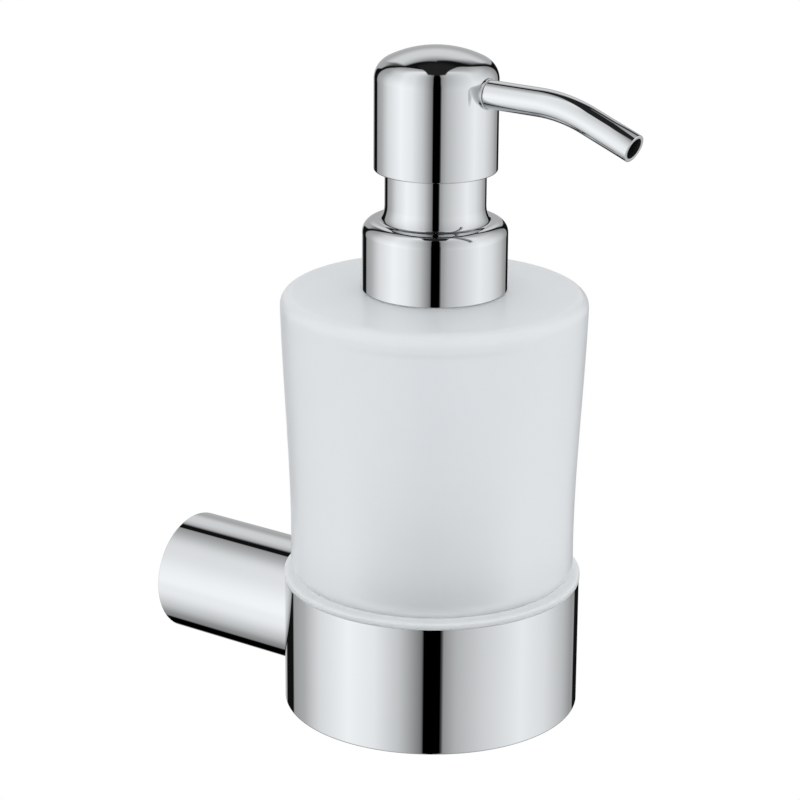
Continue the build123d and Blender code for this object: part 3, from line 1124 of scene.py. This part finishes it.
worksSizes = {"weld": 0.001, "sharpAngle": 32}  # millimetres, degrees
plainWorks = [
    "wall_bracket",
    "grub_screw",
    "arm_end_plug",
    "ring_screw",
    "screw_cap",
    "neck_gasket",
    "pump_housing",
    "housing_guide",
    "spring_seat",
    "dip_tube",
    "inlet_ball",
    "piston_seal",
    "valve_rod",
    "pump_stem",
    "head_core",
]
bodyOfNode = {n: body for body, members in frame["record"]["behaviour"]["bodies"].items() for n in members}


def buildWorks():
    # the works inside keep their exact shape: each is a welded, smooth-shaded copy of its own piece
    s = worksSizes
    for node in plainWorks:
        mesh = frame["nodes"][node].data.copy()
        work = bmesh.new()
        work.from_mesh(mesh)
        bmesh.ops.remove_doubles(work, verts=work.verts, dist=s["weld"] * mm)
        bmesh.ops.dissolve_degenerate(work, edges=work.edges, dist=s["weld"] * mm)
        bmesh.ops.recalc_face_normals(work, faces=work.faces)
        work.to_mesh(mesh)
        work.free()
        words = node.split("_")
        piece = bpy.data.objects.new(words[0] + "".join(w.capitalize() for w in words[1:]), mesh)
        bpy.context.scene.collection.objects.link(piece)
        mesh.shade_smooth()
        mesh.set_sharp_from_angle(angle=math.radians(s["sharpAngle"]))
        if signedVolume(mesh) < 0:
            mesh.flip_normals()
        settle(piece, bodyOfNode[node], slotOfNode[node], node)


buildSpring()
buildWorks()
print("pump and fixings built:", len(plainWorks) + 1, "pieces")

cameraSizes = {
    "azimuth": -54.845,
    "elevation": 18.274,
    "roll": 0.557,
    "distance": 0.68864,
    "targetHeight": 0.075,
    "lens": 132.65,
    "sensor": 36,
    "shift": (-0.0419, -0.0020),
    "clip": (0.01, 50),
}


def buildCamera():
    s = cameraSizes
    a, e = math.radians(-s["azimuth"]), math.radians(s["elevation"])
    forward = Vector((math.sin(a) * math.cos(e), math.cos(a) * math.cos(e), -math.sin(e)))
    target = bottleAxis + Vector((0, 0, s["targetHeight"]))
    data = bpy.data.cameras.new("viewer")
    data.sensor_width = s["sensor"]
    data.lens = s["lens"]
    data.shift_x, data.shift_y = s["shift"]
    data.clip_start, data.clip_end = s["clip"]
    cam = bpy.data.objects.new("viewer", data)
    bpy.context.scene.collection.objects.link(cam)
    roll = Matrix.Rotation(math.radians(s["roll"]), 4, "Z")
    turn = forward.to_track_quat("-Z", "Y").to_matrix().to_4x4() @ roll
    cam.matrix_world = Matrix.Translation(target - forward * s["distance"]) @ turn
    bpy.context.scene.camera = cam


# Light tent. A bearing is in degrees from the front, negative to the left; a rise is in degrees above level.
# Two side walls meet in a dark slot overhead, a back wall closes it, and the front is open in a narrow slot.
# A pair is where a soft edge starts and ends.
tentSizes = {
    "frontBearing": -144.845,
    "tint": (0.99, 1.0, 1.006),
    "gain": 1.56,
    "ambient": 1.0,
    "bearings": [  # bearing, shown brightness of the side walls
        (-180, 0.50),
        (-140, 0.55),
        (-118, 0.66),
        (-98, 0.84),
        (-68, 0.945),
        (-45, 0.90),
        (-25, 0.76),
        (-7.2, 0.46),
        (-6.0, 0.0),
        (8.1, 0.0),
        (9.3, 0.56),
        (20, 0.70),
        (40, 0.80),
        (75, 0.915),
        (100, 0.86),
        (125, 0.72),
        (142, 0.56),
        (180, 0.50),
    ],
    "frontSpread": ((25.0, 70.0), 0.70),  # rises over which the front slot widens, and how bearings shrink
    "wallLevels": (0.66, 1.05, 0.90),  # side walls near the floor, at eye level and overhead
    "wallRises": ((-25.0, -60.0), (-19.0, -8.0), (-8.0, 42.0)),
    "dim": ((35.0, 60.0), (85.0, 130.0), -0.42),  # rises and bearings of a darker stretch, and how dark
    "backHalf": (17.0, 20.0),  # half width of the back wall's middle
    "backRises": ((12.0, 30.0), (20.0, 38.0)),  # where its centre brightens and its corners darken
    "backTone": 0.62,
    "backCentre": 0.80,
    "backCorner": 0.34,
    "backTop": (36.0, 60.0),
    "gap": (134.0, 146.5),  # bearings of the gaps beside the back wall, left and right
    "gapSides": (-10.0, 10.0),
    "gapLean": ((38.0, 58.0), 11.0),  # how far they close in towards the top
    "gapFoot": ((22.0, -5.0), 4.0),  # and towards the floor
    "gapNarrows": (-5.0, 18.0),
    "gapWidth": (21.0, 7.5),  # low down and high up
    "gapFlare": ((45.0, 60.0), 194.0),  # bearing where they end at the overhead slot
    "gapTone": 0.06,
    "gapEdge": (-1.5, 1.5),
    "farEdge": ((12.0, 45.0), (2.0, 16.0)),  # the gap's edge towards the back wall softens with height
    "slotWidth": (10.3, 12.3),  # half the overhead slot
    "slotTone": 0.13,
    "slotBearings": (80.0, 100.0),
    "slotEnds": (71.5, 56.0),  # rises where the slot starts in front and behind
    "slotEdge": (-5.0, 4.0),
    "dark": ((-28.0, -38.0), (130.0, 150.0)),  # rises and bearings of the dark floor behind
}


def toLinear(v):
    return v / 12.92 if v <= 0.04045 else ((v + 0.055) / 1.055) ** 2.4


def buildTent():
    s = tentSizes
    world = bpy.data.worlds.new("lightTent")
    bpy.context.scene.world = world
    world.use_nodes = True
    tree = world.node_tree
    tree.nodes.clear()
    make = nodeMaker(tree)

    def calc(operation, a, b=0.0, c=0.0):
        return make("ShaderNodeMath", {0: a, 1: b, 2: c}, operation=operation).outputs[0]

    def soft(value, span, start=0.0, end=1.0):
        values = {"Value": value, "From Min": span[0], "From Max": span[1], "To Min": start, "To Max": end}
        return make("ShaderNodeMapRange", values, interpolation_type="SMOOTHSTEP").outputs[0]

    def blend(share, a, b):
        return make("ShaderNodeMix", {0: share, 2: a, 3: b}).outputs[0]

    direction = make("ShaderNodeTexCoord").outputs["Generated"]
    turned = make(
        "ShaderNodeVectorRotate",
        {"Vector": direction, "Angle": -math.radians(s["frontBearing"])},
        rotation_type="Z_AXIS",
    ).outputs[0]
    parts = make("ShaderNodeSeparateXYZ", {0: turned}).outputs
    degrees = 180 / math.pi
    bearing = calc("MULTIPLY", calc("ARCTAN2", parts[1], parts[0]), degrees)
    rise = calc("MULTIPLY", calc("ARCSINE", parts[2]), degrees)
    aside = calc("MULTIPLY", calc("ARCSINE", calc("ABSOLUTE", parts[1])), degrees)
    away = calc("ABSOLUTE", bearing)

    # side walls
    spreadRise, spread = s["frontSpread"]
    read = calc("MULTIPLY", bearing, soft(rise, spreadRise, 1.0, spread))  # a smaller reading widens the slot
    place = make("ShaderNodeMapRange", {"Value": read, "From Min": -180.0, "From Max": 180.0}).outputs[0]
    ramp = make("ShaderNodeValToRGB", {"Fac": place})
    elements = ramp.color_ramp.elements
    while len(elements) < len(s["bearings"]):
        elements.new(0.5)
    for element, (angle, shown) in zip(elements, s["bearings"]):
        element.position = (angle + 180) / 360
        v = toLinear(shown)
        element.color = (v, v, v, 1)
    walls = make("ShaderNodeSeparateColor", {0: ramp.outputs["Color"]}).outputs[0]
    lowLevel, eyeLevel, highLevel = s["wallLevels"]
    lowRise, eyeRise, highRise = s["wallRises"]
    walls = calc("MULTIPLY", walls, soft(rise, lowRise, 1.0, lowLevel))
    walls = calc("MULTIPLY", walls, soft(rise, eyeRise, 1.0, eyeLevel))
    walls = calc("MULTIPLY", walls, soft(rise, highRise, 1.0, highLevel / eyeLevel))
    dimRise, dimBearing, dim = s["dim"]
    dimmer = calc("MULTIPLY", soft(rise, dimRise), soft(away, dimBearing))
    walls = calc("MULTIPLY", walls, calc("MULTIPLY_ADD", dimmer, dim, 1.0))

    # back wall, and the gaps beside it
    centreRise, cornerRise = s["backRises"]
    centre = calc("MULTIPLY", soft(aside, s["backHalf"][::-1]), soft(rise, centreRise))
    corner = calc("MULTIPLY", soft(aside, s["backHalf"]), soft(rise, cornerRise))
    back = blend(centre, toLinear(s["backTone"]), toLinear(s["backCentre"]))
    back = blend(corner, back, toLinear(s["backCorner"]))
    back = calc("MULTIPLY", back, soft(rise, s["backTop"][::-1]))
    gapStart = soft(bearing, s["gapSides"], *s["gap"])
    for span, shift in (s["gapLean"], s["gapFoot"]):
        gapStart = calc("ADD", gapStart, soft(rise, span, 0.0, shift))
    gapEnd = calc("ADD", gapStart, soft(rise, s["gapNarrows"], *s["gapWidth"]))
    flareRise, flareEnd = s["gapFlare"]
    gapEnd = blend(soft(rise, flareRise), gapEnd, flareEnd)
    inGap = soft(calc("SUBTRACT", away, gapStart), s["gapEdge"])
    farRise, farWidth = s["farEdge"]
    behindGap = soft(calc("SUBTRACT", away, gapEnd), (s["gapEdge"][0], soft(rise, farRise, *farWidth)))
    tone = blend(inGap, walls, toLinear(s["gapTone"]))
    tone = blend(behindGap, tone, back)

    # overhead slot, and nothing low down behind
    slotStart = soft(away, s["slotBearings"], *s["slotEnds"])
    slot = soft(aside, s["slotWidth"][::-1])
    slot = calc("MULTIPLY", slot, soft(calc("SUBTRACT", rise, slotStart), s["slotEdge"]))
    tone = blend(slot, tone, toLinear(s["slotTone"]))
    darkRise, darkBearing = s["dark"]
    tone = blend(calc("MULTIPLY", soft(rise, darkRise), soft(away, darkBearing)), tone, 0.0)

    # only mirror-like reflections see the tent; everything else gets an even light
    tent = make("ShaderNodeBackground", {"Color": (*s["tint"], 1)})
    tree.links.new(calc("MULTIPLY", tone, s["gain"]), tent.inputs["Strength"])
    even = make("ShaderNodeBackground", {"Color": (1, 1, 1, 1), "Strength": s["ambient"]})
    rays = make("ShaderNodeLightPath").outputs
    mirrored = calc("MULTIPLY", rays["Is Glossy Ray"], calc("SUBTRACT", 1.0, rays["Is Transmission Ray"]))
    mix = make("ShaderNodeMixShader", {0: mirrored, 1: even.outputs[0], 2: tent.outputs[0]})
    make("ShaderNodeOutputWorld", {"Surface": mix.outputs[0]})


floorSizes = {"drop": 0.30, "size": 14.0, "tint": (0.9, 0.9, 0.9), "shown": (1, 1, 1)}


def buildFloor():
    # the camera sees the floor evenly pale; the object gets the light of a matte one
    s = floorSizes
    z = ringBottom - s["drop"]
    h = s["size"] / 2
    floor = meshObject("paleFloor", [(-h, -h, z), (h, -h, z), (h, h, z), (-h, h, z)], faces=[(0, 1, 2, 3)])
    mat = bpy.data.materials.new("paleFloor")
    mat.use_nodes = True
    tree = mat.node_tree
    tree.nodes.clear()
    make = nodeMaker(tree)
    matte = make("ShaderNodeBsdfDiffuse", {"Color": (*s["tint"], 1)})
    glow = make("ShaderNodeEmission", {"Color": (*s["shown"], 1), "Strength": 1.0})
    rays = make("ShaderNodeLightPath").outputs
    mix = make("ShaderNodeMixShader", {0: rays["Is Camera Ray"], 1: matte.outputs[0], 2: glow.outputs[0]})
    make("ShaderNodeOutputMaterial", {"Surface": mix.outputs[0]})
    floor.data.materials.append(mat)
    floor.visible_glossy = False


buildCamera()
buildTent()
buildFloor()
bpy.context.scene.view_settings.view_transform = "Standard"
print("studio built")

bpy.context.view_layer.update()
